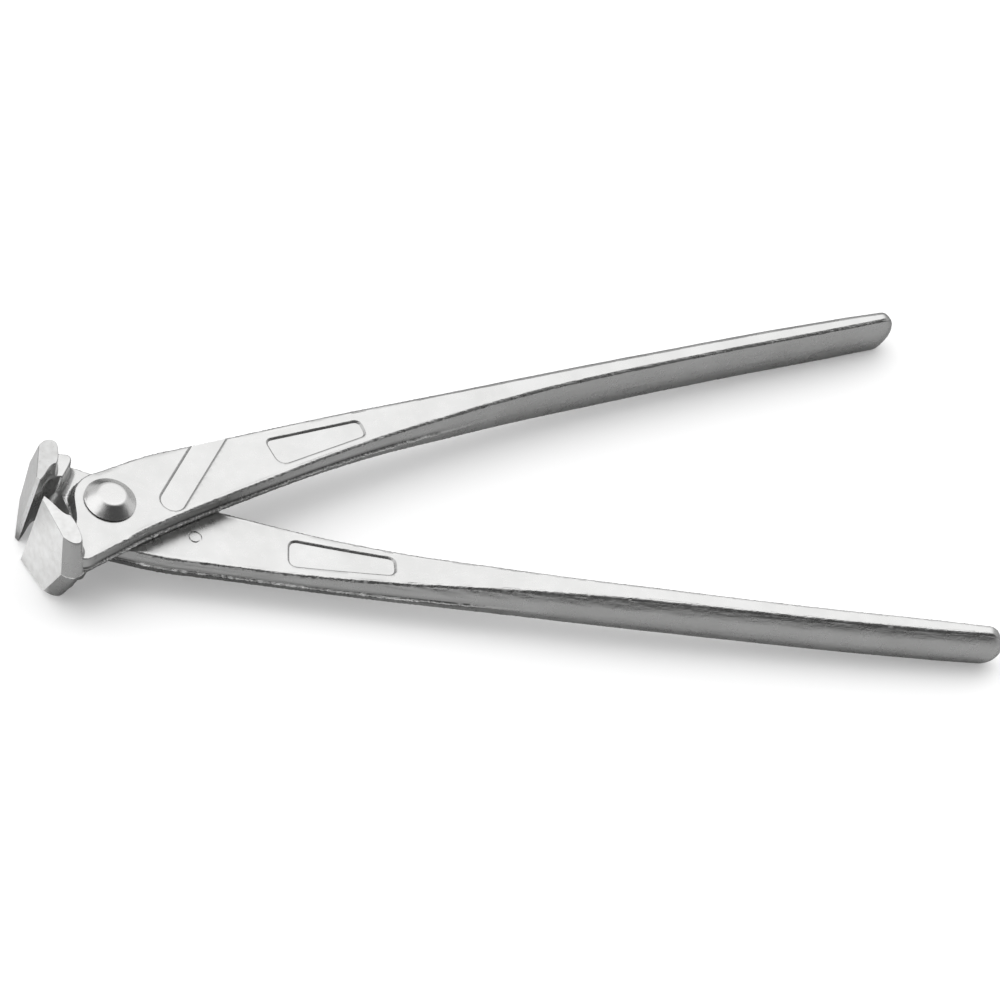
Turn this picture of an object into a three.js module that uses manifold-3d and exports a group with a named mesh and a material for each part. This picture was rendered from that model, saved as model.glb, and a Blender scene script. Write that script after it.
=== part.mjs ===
// Rebar tying pliers, also called concreters' nippers: two drop-forged halves that cross in a lap
// joint and turn on one rivet. Both halves are the same forging; the back one is turned over.
// Millimetres, +Z up. X runs along the tool from the jaws to the handle ends, and Z is the pivot
// axis. The origin is the centre of the flat on the front rivet head.
//
// A half is modelled closed: its cutting edge lies on the plane y = 0, its plate lies above the
// joint plane z = 0, its jaw reaches to -y and its handle leans to +y.

import * as THREE from "three";
import { mergeVertices } from "three/addons/utils/BufferGeometryUtils.js";
import Module from "manifold-3d";

// Tool and joint
const HANDLE_REACH = 229; // pivot axis to the end of the handle's flat
const HANDLE_DOME = 4.2; // rounded end beyond that flat
const PLATE_THICKNESS = 6.15; // one half where the two cross
const CLEARANCE = 0.2; // between faces and diameters that run on each other
const CLOSED_LEAN_DEG = 5.6; // a handle's lean from the middle line, jaws closed
const OPENING_DEG = 14.4; // how far the jaws stand open

// Head
const NOSE_RADIUS = 9; // round front of the plate, about the pivot
const HEAD_BREADTH = 10.5; // pivot to the widest place of the outer edge
const NEAR_BREADTH = 12; // pivot to the inner edge, square to the handle
const RIDGE_BULGE = 0.75; // parting ridge on the side of the plate
const MOUTH_DRAFT = 0.4; // how far the mouth side of the plate leans back to the joint plane
const HEEL_REACH = 13.2; // pivot to the heel, where the near edge turns into the jaw, along X
const HEEL_BREADTH = 17.05; // the same corner, across

// Jaw
const EDGE_REACH = 19.15; // pivot to the cutting edge
const JAW_WIDTH = 24.9; // along the cutting edge
const BEVEL_DEPTH = 0.78; // narrow bevel at the cutting edge, along X
const BEVEL_RISE = 0.96; // the same bevel, across
const FACE_LENGTH = 11.35; // ground front face, at the ends of the jaw
const FACE_GROWTH = 3.75; // how much longer that face is at the parting line
const FACE_LEAN_DEG = 9.6;
const JAW_BACK = 13.2; // pivot to the back of the jaw, near its ends
const JAW_OUTER = 14.5; // across to the outer side of the jaw, near its ends
const HOLLOW_DEPTH = 6.26; // hollow behind the cutting edge
const END_DROP = 1.75; // how much narrower the jaw is at its outer side, each end
const WALL_FLARE = 0.7; // how far the back of the jaw leans out down to the plate
const FOOT_RADIUS = 0.6; // fillet where that wall meets the plate
const PARTING_RISE = 2.4; // how far the parting line climbs from the jaw to the plate

// Neck: the root of the jaw beside the other half's nose, with the seat turned for that nose
const SEAT_CLEARANCE = 1.2; // nose to the foot of the seat
const SEAT_RADIUS = 2.3; // cove at the foot of the seat
const SEAT_DRAFT = 0.5; // lean of the seat wall above the cove
const NECK_BACK = 8.6; // pivot to the back of the neck, along X
const NECK_OUTER = 13.8; // pivot to the outer side of the neck, across
const NECK_ROUND = 1.6; // corner between them

// Handle section
const HANDLE_BULGE_OUTER = 2.6;
const HANDLE_BULGE_INNER = 1.1;

// Rivet
const RIVET_HEAD_RADIUS = 6.65;
const RIVET_FLAT_RADIUS = 3.6;
const RIVET_HEAD_HEIGHT = 2.6;
const RIVET_RIM = 0.22; // upright rim at the foot of a head, below its cone
const RIVET_SHANK_RADIUS = 4.2;

// Edge curves of the handle: along it as shares of HANDLE_REACH, across as shares of HEAD_BREADTH.
const outerEdgeShares = [
  [0.035, 0.934],
  [0.059, 0.984],
  [0.083, 1],
  [0.109, 0.986],
  [0.175, 0.963],
  [0.306, 0.897],
  [0.437, 0.778],
  [0.568, 0.674],
  [0.699, 0.55],
  [0.83, 0.417],
  [0.939, 0.264],
  [1, 0.152],
];
const innerEdgeShares = [
  [0.026, -1.004],
  [0.087, -0.772],
  [0.175, -0.495],
  [0.262, -0.232],
  [0.349, -0.024],
  [0.437, 0.101],
  [0.502, 0.184],
  [0.568, 0.222],
  [0.655, 0.201],
  [0.742, 0.145],
  [0.83, 0.07],
  [0.917, -0.024],
  [1, -0.096],
];
// Where the underside leaves the joint plane and where it reaches the handle's full height.
const thickeningShares = [0.17, 0.64];
const bulgeShares = [0.12, 0.62]; // where the sides turn from ridged to round

// Facets
const ARM_STEPS = 62;
const NOSE_STEPS = 12;
const FILLET_STEPS = 6;
const SIDE_POINTS = 8;
const CURVE_POINTS = 5;
const ROUND_SEGMENTS = 72;
const DOME_STEPS = 6;
const HALVINGS = 30; // of a search along a curve

const HALF_HEIGHT = PLATE_THICKNESS + CLEARANCE / 2; // joint plane to the outer face of a plate
const UNDERSIDE = CLEARANCE / 2; // joint plane to a plate's inner face
const OVERRUN = HALF_HEIGHT; // how far the bore cut runs past the body
const RIVET_FACE = HALF_HEIGHT + CLEARANCE + RIVET_HEAD_HEIGHT;
const radians = THREE.MathUtils.degToRad;

const wasm = await Module();
wasm.setup();

// A closed geometry as a solid, with its faces turned outwards.
function solidOf(geometry) {
  const bare = geometry.index ? geometry.toNonIndexed() : geometry.clone();
  bare.deleteAttribute("normal");
  bare.deleteAttribute("uv");
  const merged = mergeVertices(bare, HALF_HEIGHT * 1e-5);
  const build = (triVerts) =>
    new wasm.Manifold(
      new wasm.Mesh({
        numProp: 3,
        vertProperties: merged.attributes.position.array,
        triVerts,
      }),
    );
  const triVerts = new Uint32Array(merged.index.array);
  const solid = build(triVerts);
  return solid.volume() < 0 ? build(triVerts.slice().reverse()) : solid;
}

// A solid as a geometry for a mesh.
function geometryOf(solid) {
  const { vertProperties, triVerts } = solid.getMesh();
  const geometry = new THREE.BufferGeometry();
  geometry.setAttribute("position", new THREE.BufferAttribute(vertProperties, 3));
  geometry.setIndex(new THREE.BufferAttribute(triVerts, 1));
  geometry.computeVertexNormals();
  return geometry;
}

// Skin over rings that all have the same number of points, capped at both ends.
// flatten turns a ring point into the 2-D point that the caps are triangulated in.
function loft(rings, flatten) {
  const count = rings[0].length;
  const positions = rings.flat().flatMap((p) => [p.x, p.y, p.z]);
  const index = [];
  for (let r = 0; r + 1 < rings.length; r++) {
    for (let i = 0; i < count; i++) {
      const a = r * count + i;
      const b = r * count + ((i + 1) % count);
      index.push(a, b, b + count, a, b + count, a + count);
    }
  }
  for (const last of [false, true]) {
    const flat = rings.at(last ? -1 : 0).map(flatten);
    const offset = last ? (rings.length - 1) * count : 0;
    const turned = THREE.ShapeUtils.isClockWise(flat) === last;
    for (const corners of THREE.ShapeUtils.triangulateShape(flat, [])) {
      const face = corners.map((corner) => offset + corner);
      index.push(...(turned ? face.reverse() : face));
    }
  }
  const geometry = new THREE.BufferGeometry();
  geometry.setAttribute("position", new THREE.Float32BufferAttribute(positions, 3));
  geometry.setIndex(index);
  return geometry;
}

// Smooth curve through a table of shares, read as across = f(along).
function edgeCurve(first, shares) {
  const points = shares.map(
    ([along, across]) => new THREE.Vector2(along * HANDLE_REACH, across * HEAD_BREADTH),
  );
  const curve = new THREE.SplineCurve([first, ...points]);
  const drawn = curve.getPoints(points.length * SIDE_POINTS);
  return (along) => {
    const k = drawn.findIndex((p) => p.x >= along);
    if (k <= 0) return k === 0 ? first.y : drawn.at(-1).y;
    const [a, b] = [drawn[k - 1], drawn[k]];
    return THREE.MathUtils.lerp(a.y, b.y, (along - a.x) / (b.x - a.x));
  };
}
const outerEdge = edgeCurve(new THREE.Vector2(0, NOSE_RADIUS), outerEdgeShares);
const innerEdge = edgeCurve(new THREE.Vector2(0, -NEAR_BREADTH), innerEdgeShares);

// A point of the handle's own frame, along and across it, in the frame of the closed half.
function armPoint(along, across) {
  return new THREE.Vector2(along, across).rotateAround(
    new THREE.Vector2(),
    radians(CLOSED_LEAN_DEG),
  );
}

// Plan outline of the mouth beside the nose, from inside the jaw to the round of the nose. inset
// moves it into the plate.
const noseEnd = radians(169);
function mouthCurve(inset) {
  const end = new THREE.Vector2(NOSE_RADIUS - inset, 0).rotateAround(new THREE.Vector2(), noseEnd);
  return new THREE.CubicBezierCurve(
    new THREE.Vector2(-JAW_BACK * 1.08, -HOLLOW_DEPTH * 1.08 - inset),
    new THREE.Vector2(-NOSE_RADIUS * 1.21 + inset / 2, -HOLLOW_DEPTH * 1.05 - inset / 2),
    new THREE.Vector2(-NOSE_RADIUS * 1.145 + inset, -HOLLOW_DEPTH * 0.8),
    end,
  );
}

// The stations of the plate and handle: an outer and an inner point in plan, from inside the jaw,
// round the nose and out to the handle's end, and the section between them.
function armStations() {
  const noseStart = radians(90 + CLOSED_LEAN_DEG);
  const nose = (angle) => new THREE.Vector2(NOSE_RADIUS, 0).rotateAround(new THREE.Vector2(), angle);
  const mouth = mouthCurve(0);
  const nearStart = armPoint(0, -NEAR_BREADTH);
  const heel = new THREE.Vector2(-HEEL_REACH, -HEEL_BREADTH);
  const inJaw = new THREE.Vector2(-EDGE_REACH * 0.76, -JAW_OUTER);
  const heelCurve = new THREE.QuadraticBezierCurve(inJaw, heel, nearStart.clone().lerp(heel, 0.8));
  const headSteps = FILLET_STEPS + NOSE_STEPS;
  const stations = Array.from({ length: headSteps }, (_, k) => {
    const onNose = (k - FILLET_STEPS) / NOSE_STEPS;
    const onHeel = k / FILLET_STEPS;
    return {
      along: 0,
      outer:
        onNose < 0
          ? mouth.getPoint(onHeel)
          : nose(THREE.MathUtils.lerp(noseEnd, noseStart, onNose)),
      inner: onNose < 0 ? heelCurve.getPoint(onHeel) : heelCurve.v2.clone().lerp(nearStart, onNose),
      shrink: 1,
      draft: MOUTH_DRAFT * (1 - THREE.MathUtils.smoothstep(onHeel, 0.8, 1.5)),
    };
  });
  for (let k = 0; k <= ARM_STEPS; k++) {
    const along = (k / ARM_STEPS) * HANDLE_REACH;
    stations.push({
      along,
      outer: armPoint(along, outerEdge(along)),
      inner: armPoint(along, innerEdge(along)),
      shrink: 1,
      draft: 0,
    });
  }
  const middle = (outerEdge(HANDLE_REACH) + innerEdge(HANDLE_REACH)) / 2;
  const narrow = (across, shrink) => middle + (across - middle) * shrink;
  for (let k = 1; k <= DOME_STEPS; k++) {
    const turn = (k / DOME_STEPS) * radians(84);
    const shrink = Math.cos(turn) ** 0.9;
    const along = HANDLE_REACH + HANDLE_DOME * Math.sin(turn);
    stations.push({
      along,
      outer: armPoint(along, narrow(outerEdge(HANDLE_REACH), shrink)),
      inner: armPoint(along, narrow(innerEdge(HANDLE_REACH), shrink)),
      shrink,
      draft: 0,
    });
  }
  return stations;
}

// Outward normal of the plan outline at one end of a station.
function planNormal(stations, k, side) {
  const before = stations[Math.max(k - 1, 0)][side];
  const after = stations[Math.min(k + 1, stations.length - 1)][side];
  const run = after.clone().sub(before).normalize();
  return side === "outer" ? new THREE.Vector2(-run.y, run.x) : new THREE.Vector2(run.y, -run.x);
}

// Plate and handle: one skin over vertical sections between the two edge curves.
function armSolid() {
  const stations = armStations();
  const smooth = THREE.MathUtils.smoothstep;
  const rings = stations.map((station, k) => {
    const share = station.along / HANDLE_REACH;
    const thick = smooth(share, ...thickeningShares);
    const round = smooth(share, ...bulgeShares);
    const top = HALF_HEIGHT * station.shrink;
    const bottom = THREE.MathUtils.lerp(UNDERSIDE, -HALF_HEIGHT, thick) * station.shrink;
    const middle = (top + bottom) / 2;
    const half = (top - bottom) / 2;
    const side = (end, bulge, draft, downwards) => {
      const normal = planNormal(stations, k, end);
      const size = THREE.MathUtils.lerp(RIDGE_BULGE, bulge, round) * station.shrink;
      const power = 1 + round;
      return Array.from({ length: SIDE_POINTS + 1 }, (_, i) => {
        const height = Math.cos((i / SIDE_POINTS) * Math.PI) * downwards;
        const out = size * (1 - Math.abs(height) ** power) - (draft * (1 - height)) / 2;
        const p = station[end].clone().addScaledVector(normal, out);
        return new THREE.Vector3(p.x, p.y, middle + half * height);
      });
    };
    return [
      ...side("outer", HANDLE_BULGE_OUTER, station.draft, 1),
      ...side("inner", HANDLE_BULGE_INNER, 0, -1),
    ];
  });
  const across = armPoint(0, 1);
  return solidOf(loft(rings, (p) => new THREE.Vector2(p.x * across.x + p.y * across.y, p.z)));
}

// Outline of the jaw in plan. grow lengthens the front face, back moves the back wall towards the
// pivot.
function jawOutline(grow, back) {
  const lean = radians(FACE_LEAN_DEG);
  const face = new THREE.Vector2(Math.sin(lean), -Math.cos(lean));
  const edge = new THREE.Vector2(-EDGE_REACH, 0);
  const bevel = edge.clone().add(new THREE.Vector2(-BEVEL_DEPTH, -BEVEL_RISE));
  const corner = bevel.clone().addScaledVector(face, FACE_LENGTH + grow);
  const depth = -JAW_OUTER + face.y * grow;
  const backX = -JAW_BACK + back;
  const heelX = THREE.MathUtils.lerp(bevel.x, -JAW_BACK, 0.75) + face.x * grow;
  const hollowX = -JAW_BACK - (EDGE_REACH - JAW_BACK) * 0.18 + back;
  const path = new THREE.Path();
  path.moveTo(edge.x, edge.y);
  path.lineTo(bevel.x, bevel.y);
  path.lineTo(corner.x, corner.y);
  path.quadraticCurveTo((corner.x + heelX) / 2, depth, heelX, depth);
  path.quadraticCurveTo(backX, depth, backX, depth * 0.84);
  path.quadraticCurveTo(backX, -HOLLOW_DEPTH * 1.3, hollowX, -HOLLOW_DEPTH);
  path.bezierCurveTo(
    THREE.MathUtils.lerp(hollowX, edge.x, 0.4),
    -HOLLOW_DEPTH * 0.95,
    THREE.MathUtils.lerp(hollowX, edge.x, 0.56),
    -HOLLOW_DEPTH * 0.38,
    edge.x,
    edge.y,
  );
  return path.getPoints(CURVE_POINTS).slice(0, -1);
}

// How far a wall with a filleted foot stands out at a height above that foot.
function footSpread(height, wall) {
  const slope = 1 - THREE.MathUtils.clamp(height / wall, 0, 1);
  const round = 1 - Math.min(height / (FOOT_RADIUS * 2), 1);
  return WALL_FLARE * slope + FOOT_RADIUS * round * round;
}

// Jaw: a skin over level sections, widest at the parting line, with slightly sloping ends.
function jawSolid() {
  const end = JAW_WIDTH / 2;
  const wall = end - HALF_HEIGHT;
  const shoulder = [0, 0.3, 0.7, 1.2, 2].map((step) => HALF_HEIGHT + step * FOOT_RADIUS);
  const upper = [...shoulder, end];
  const levels = [...upper.map((z) => -z).reverse(), 0, ...upper];
  const rimHeight = end - END_DROP;
  const rings = levels.map((z) => {
    const height = Math.abs(z);
    const atEnd = height === end;
    const grow = FACE_GROWTH * (1 - Math.min(height, rimHeight) / rimHeight);
    const back = height > HALF_HEIGHT ? footSpread(height - HALF_HEIGHT, wall) : footSpread(0, wall);
    return jawOutline(grow, back).map((p) => {
      const drop = atEnd ? (END_DROP * -p.y) / JAW_OUTER : 0;
      const aft = THREE.MathUtils.smoothstep(p.x, -JAW_BACK - BEVEL_RISE * 3, -JAW_BACK + WALL_FLARE);
      const outward = THREE.MathUtils.smoothstep(-p.y, HOLLOW_DEPTH, JAW_OUTER);
      const rise = PARTING_RISE * aft * outward * (1 - height / end) ** 2;
      return new THREE.Vector3(p.x, p.y, z - Math.sign(z) * drop + rise);
    });
  });
  return solidOf(loft(rings, (p) => new THREE.Vector2(p.x, p.y)));
}

// The share of the mouth outline, run towards the nose, at which it is this far from the pivot.
function mouthShare(mouth, radius) {
  let far = 0;
  let near = 1;
  for (let k = 0; k < HALVINGS; k++) {
    const middle = (far + near) / 2;
    if (mouth.getPoint(middle).length() > radius) far = middle;
    else near = middle;
  }
  return near;
}

// Neck: a skin over level sections. Its hollow side follows the mouth of the plate. Its inner side
// is the seat, a cove and then a wall with draft, and the same curve spreads its back and its outer
// side down to the plate.
function neckSolid() {
  const rim = NOSE_RADIUS + SEAT_CLEARANCE + SEAT_RADIUS + SEAT_DRAFT;
  const cove = Array.from({ length: CURVE_POINTS + 1 }, (_, k) => {
    const turn = (k / CURVE_POINTS) * (Math.PI / 2);
    return [SEAT_RADIUS * Math.sin(turn), -SEAT_RADIUS * (1 - Math.cos(turn)) - UNDERSIDE];
  });
  const inside = -EDGE_REACH * 0.76;
  const mouth = mouthCurve(MOUTH_DRAFT);
  const start = mouthShare(mouth, rim + SEAT_CLEARANCE / 2);
  const steps = [[0, UNDERSIDE + SEAT_RADIUS], ...cove, [SEAT_RADIUS + SEAT_DRAFT, -HALF_HEIGHT]];
  const rings = steps.map(([cut, z]) => {
    const seat = NOSE_RADIUS + SEAT_CLEARANCE + cut;
    const spread = rim - seat;
    const back = -NECK_BACK + spread;
    const outer = -NECK_OUTER - spread / 4;
    const share = mouthShare(mouth, seat);
    const front = mouth.getPoint(share);
    const end = new THREE.Vector2(back, outer + NECK_ROUND);
    const along = new THREE.Vector2(-front.y, front.x).setLength(front.distanceTo(end) / 3);
    const path = new THREE.Path();
    path.moveTo(inside, -HOLLOW_DEPTH);
    for (let k = 0; k <= CURVE_POINTS; k++) {
      const p = mouth.getPoint(THREE.MathUtils.lerp(start, share, k / CURVE_POINTS));
      path.lineTo(p.x, p.y);
    }
    path.bezierCurveTo(
      front.x + along.x,
      front.y + along.y,
      THREE.MathUtils.lerp(front.x, end.x, 0.87),
      THREE.MathUtils.lerp(front.y, end.y, 0.74),
      end.x,
      end.y,
    );
    path.quadraticCurveTo(back, outer, back - NECK_ROUND, outer);
    path.lineTo(inside, outer);
    path.closePath();
    return path
      .getPoints(CURVE_POINTS)
      .slice(0, -1)
      .map((p) => new THREE.Vector3(p.x, p.y, z));
  });
  return solidOf(loft(rings, (p) => new THREE.Vector2(p.x, p.y)));
}

// A revolved solid about the pivot axis, from a profile of radius and height.
function revolve(profile) {
  const geometry = new THREE.LatheGeometry(
    profile.map(([radius, height]) => new THREE.Vector2(radius, height)),
    ROUND_SEGMENTS,
  );
  return solidOf(geometry.rotateX(Math.PI / 2));
}

function boreCutter() {
  const radius = RIVET_SHANK_RADIUS + CLEARANCE / 2;
  const low = UNDERSIDE - OVERRUN;
  const high = HALF_HEIGHT + OVERRUN;
  return revolve([[0, low], [radius, low], [radius, high], [0, high]]);
}

// One forged half, closed.
function halfGeometry() {
  return geometryOf(armSolid().add(neckSolid()).add(jawSolid()).subtract(boreCutter()));
}

// Rivet: a shank with the same upset head at both ends, a cone with a flat top.
function rivetGeometry() {
  const base = HALF_HEIGHT + CLEARANCE;
  const head = [
    [RIVET_SHANK_RADIUS, base],
    [RIVET_HEAD_RADIUS, base],
    [RIVET_HEAD_RADIUS, base + RIVET_RIM],
    [RIVET_FLAT_RADIUS, RIVET_FACE],
    [0, RIVET_FACE],
  ];
  const mirrored = head.map(([radius, height]) => [radius, -height]).reverse();
  return geometryOf(revolve([...mirrored, ...head]));
}

function finish(color, roughness) {
  return new THREE.MeshStandardMaterial({ color, roughness, metalness: 1 });
}

function named(name, geometry, material) {
  const mesh = new THREE.Mesh(geometry, material);
  mesh.name = name;
  return mesh;
}

const half = halfGeometry();
const frontHalf = named("front_half", half, finish(0xd4d6d6, 0.38));
frontHalf.rotation.z = radians(OPENING_DEG / 2);
const backHalf = named("back_half", half.clone(), finish(0xd2d4d5, 0.4));
backHalf.rotation.z = radians(OPENING_DEG / 2);
const turnedOver = new THREE.Group().add(backHalf);
turnedOver.rotation.x = Math.PI;
const rivet = named("rivet", rivetGeometry(), finish(0xcfd0d0, 0.3));

const pliers = new THREE.Group().add(frontHalf, turnedOver, rivet);
pliers.position.z = -RIVET_FACE;

export default new THREE.Group().add(pliers);
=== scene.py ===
import math

import bmesh
import bpy
import numpy as np
from mathutils import Matrix, Vector, noise


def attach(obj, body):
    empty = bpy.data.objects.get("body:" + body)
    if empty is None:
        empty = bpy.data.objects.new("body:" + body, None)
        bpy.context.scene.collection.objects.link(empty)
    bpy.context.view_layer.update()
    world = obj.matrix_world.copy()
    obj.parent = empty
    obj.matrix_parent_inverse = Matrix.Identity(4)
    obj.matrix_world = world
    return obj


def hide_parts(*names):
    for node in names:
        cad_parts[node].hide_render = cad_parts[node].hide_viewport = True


# Rebar tying pliers. The two forged halves and the rivet are rebuilt here as dense skins with soft
# forged edges, recessed fields and ground jaw faces. Lengths are millimetres in the frame of one
# half, closed, until a mesh is placed; placed meshes and the camera are in metres.
#
# A half is modelled closed: its cutting edge lies on y = 0, its plate above z = 0, its jaw reaches
# to -y and its handle leans to +y. Both halves are the same forging, and the back one is turned
# over. A section is what a cut across the arm shows, and the arm is the plate with its handle.

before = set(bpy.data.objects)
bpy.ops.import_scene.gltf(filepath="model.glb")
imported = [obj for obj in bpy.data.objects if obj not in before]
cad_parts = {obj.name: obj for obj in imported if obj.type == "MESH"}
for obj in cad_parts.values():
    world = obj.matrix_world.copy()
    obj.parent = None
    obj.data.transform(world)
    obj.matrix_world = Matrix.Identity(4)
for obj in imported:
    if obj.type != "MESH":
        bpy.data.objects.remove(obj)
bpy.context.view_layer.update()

MM = 0.001
TINY = 1e-9  # keeps a length of zero from being divided by
WELD, SLIVER = 1e-4, 1e-5  # points as near as this are joined, and edges as short dissolved
SEED = Vector((3.1, 7.7, 1.9))  # where the forging's noise is read

# Joint and plate
HANDLE_REACH = 229.0  # from the pivot to where the handle's domed end starts
HANDLE_DOME = 4.2  # length of that end
DOME_STOP, DOME_POWER = math.radians(84), 0.9  # where its last section stands, and its fullness
HALF_HEIGHT = 6.25  # of a plate's outer face over the joint plane
UNDERSIDE = 0.1  # height of a plate's inner face over the joint plane
LEAN = math.radians(5.6)  # of the handle
HALF_OPENING = math.radians(7.2)  # how far each half is turned open at rest
RIVET_FACE = 9.05  # height of the rivet's flat end over the joint plane

# Head
NOSE_RADIUS = 9.0  # of the plate's round front
NOSE_END = math.radians(169)  # where that round runs into the mouth
HEAD_BREADTH = 10.5  # what the breadths in the tables of the two edges are shares of
NEAR_BREADTH = 12.0  # from the pivot to the plate's edge on the jaw's side
RIDGE_BULGE = 0.75  # how far the plate's sides stand out at the parting ridge
MOUTH_DRAFT = 0.4  # how far the mouth's wall leans in towards the joint plane
DRAFT_FADE = (0.8, 1.5)  # where it fades: 0 to 1 runs along the mouth, 1 to 3 round the nose
MOUTH_START = (1.08, 1.08)  # start of the mouth's curve, as shares of JAW_BACK and HOLLOW_DEPTH
MOUTH_BENDS = (1.21, 1.05), (1.145, 0.8)  # its bends, as shares of NOSE_RADIUS and HOLLOW_DEPTH
HEEL = np.array((-13.2, -17.05))  # bend of the plan from the plate's edge into the jaw
HEEL_SHARE = 0.8  # where that bend starts, as a share of the way to it from beside the pivot

# Jaw
EDGE_REACH = 19.15  # from the pivot to the cutting edge
INSIDE_JAW = EDGE_REACH * 0.76  # how far forward the arm and the neck run on inside the jaw
JAW_WIDTH = 24.9
BEVEL = np.array((-0.78, -0.96))  # from the cutting edge to the foot of its bevel
FACE_LENGTH = 11.35  # of the ground front face at the jaw's ends
FACE_GROWTH = 3.75  # how much longer it is at the middle of the jaw's width
FACE_LEAN = math.radians(9.6)
JAW_BACK = 13.2  # from the pivot to the jaw's back face
JAW_OUTER = 14.5  # depth of the jaw at its ends
OUTER_RUN = 0.75  # how far back the outer side runs level, as a share from the bevel to the back
HEEL_ROUND = 0.84  # where the heel's round ends on the back face, as a share of the jaw's depth
HOLLOW_DEPTH = 6.26
HOLLOW_CORNER = 1.3  # bend from the back face into the hollow, as a share of its depth
HOLLOW_START = 0.18  # where the hollow starts, as a share from the back face to the edge
HOLLOW_BENDS = (0.4, 0.95), (0.56, 0.38)  # its bends, as shares of the way to the edge and of depth
JAW_COUNTS = (3, 24, 10, 12, 14, 20)  # points along each of the outline's six curves
END_DROP = 1.75  # how far a ground end falls towards the jaw's outer side
END_EDGE = 0.14  # tiny chamfer round each ground end
WALL_FLARE = 0.7  # how far the back face leans out at the plate
FOOT_RADIUS = 0.6  # of the fillet there
PLATE_LEVELS, FOOT_LEVELS = 16, 9  # outlines up to the plate's height, and over the fillet
WALL_LEVELS = [8.5, 9.2, 9.9]  # heights of the outlines between the fillet and the ground end
PARTING_RISE = 2.4  # how far the parting line climbs on its way to the plate
RISE_RUN = 5.5  # length over which the parting line climbs on the outer side
HOLLOW_RUN = 2.88  # and on the hollow's side
RISE_BLEND = 6  # power that keeps the first of them to the outer side
JAW_FLASH = 0.28
FLASH_LEVELS = {-0.2: 0.6, 0: 1, 0.06: 0}  # outlines at the parting line: height, share of flash

# Neck
SEAT_CLEARANCE = 1.2  # between the seat and the other half's nose
SEAT_RADIUS = 2.3  # of the cove
SEAT_DRAFT = 0.5  # how far the wall below the cove leans back
SEAT_BENDS = np.array((0.87, 0.74))  # end of the seat's curve, as shares of the way to its end
NECK_BACK = 8.6  # from the pivot to the neck's back corner, and to its outer side
NECK_OUTER = 13.8
NECK_WIDENING = 0.25  # of the outer side, as a share of the seat's
NECK_ROUND = 1.6
NECK_SOFT = 0.45  # rounding of the neck's outer edge
COVE_LEVELS, WALL_COUNT = 13, 12  # levels of the cove, and points along the mouth's wall
MOUTH_COUNT = 400  # points of the mouth's curve, from which that wall is read

# Section of the arm, from the plate to the handle
BULGE_OUTER = 2.6  # how far the handle's outer and inner side bulge
BULGE_INNER = 1.1
THICKENING = (0.17, 0.64)  # shares of the reach between which the arm gets its full depth
BULGING = (0.12, 0.62)  # and between which its sides bulge
EDGE_SOFT_HEAD = 0.39  # breadth of the soft edge: in front of the pivot, behind it, on the handle
EDGE_SOFT_PLATE = 0.65
EDGE_SOFT_HANDLE = 0.62
EDGE_DROP = 0.8  # how far the soft edge reaches down the side, as a share of its breadth
EDGE_PULL_PLATE = 0.66  # pull of the soft edge to its corner: 0.55 is round, less is a bevel
EDGE_PULL_HANDLE = 0.35
EDGE_CREASE = 0.3  # share of the handle's pull that is left at the top face, which makes a crease

# Points of a section, and sections along the arm
TOP_COUNT = 15  # across the top face and the underside
CORNER_COUNT = 7  # round a soft edge
HALF_SIDE = 11  # between a soft edge and the parting ridge
RIDGE_ROWS = (0.16, 0.05, -0.045, -0.11)  # heights on the parting ridge, as shares of a side's
RIDGE_OUT = (0.0, 1.0, 1.0, 0.0)  # share of the flash at each of them
SIDE_COUNT = 2 * HALF_SIDE + len(RIDGE_ROWS)
HEAD_ROWS = 40  # sections along the mouth, and as many round the nose
ARM_PITCH = 0.3
DOME_ROWS = 12

# Forged unevenness of the arm
ROUGH_START = (14, 34)  # sections over which it starts
ROUGH_END = (0.3, 0.9)  # shrink of the domed end over which it fades
CORNER_SPREAD = 2.6  # points over which the soft edge's noise spreads
EDGE_NOISE_PLATE, EDGE_NOISE_HANDLE = 0.17, 0.08
SIDE_NOISE, GROOVE_NOISE, WAVE_NOISE = 0.015, 0.07, 0.03
FINE_NOISE = (0.8, 1.7, SEED), (0.7, 3.1, -SEED)  # strength, scale and shift of two fine noises
WAVE_SCALE = (0.16, 0.3, 0.3)
GROOVE_SCALE = (0.12, 0.12, 1.5)
FLASH = 0.5  # how far the trimmed flash stands out of the parting ridge
FLASH_FADE = (0.35, 0.9)  # rounding of the arm over which it fades
FLASH_MEAN, FLASH_TORN, FLASH_CHIPPED = 0.8, 0.5, 0.6  # its size: mean, long noise and short noise
FLASH_LEAST, FLASH_MOST = 0.2, 1.3
TORN_SCALE = (0.35, 0.1, 0)
CHIP_SCALE = (1.5, 0.3, 0)
NICK_SCALE = (4, 0, 0)
JAW_TORN_SCALE = (0.9, 0.9, 0)
JAW_FLASH_RANGE = (0.2, 1.2)

# Rivet
RIVET_HEAD_RADIUS = 6.65
RIVET_FLAT_RADIUS = 3.6
RIVET_HEAD_HEIGHT = 2.6
RIVET_GAP = 0.2  # between a head and its plate
RIVET_RIM = 0.22  # rounding of a head's outer edge
RIVET_CONE = (0.06, 0.86)  # where the cone starts and ends, as shares from the rim to the flat
RIVET_ROUND = (0.05, 0.5)  # rounding round the flat, outwards and inwards
RIVET_POLE = 0.15  # radius of the innermost ring of points
RIVET_SHANK = 4.2
RIVET_DENTS, DENT_RADIUS, DENT_SCALE = 0.05, 6, 0.8  # depth of a head's dents, at this radius
DENTS_OUTSIDE, DENTS_ABOVE = 0.2, 0.3  # how far outside the shank and above the foot they start
BORE = 4.3  # radius of the hole for the shank

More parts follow.
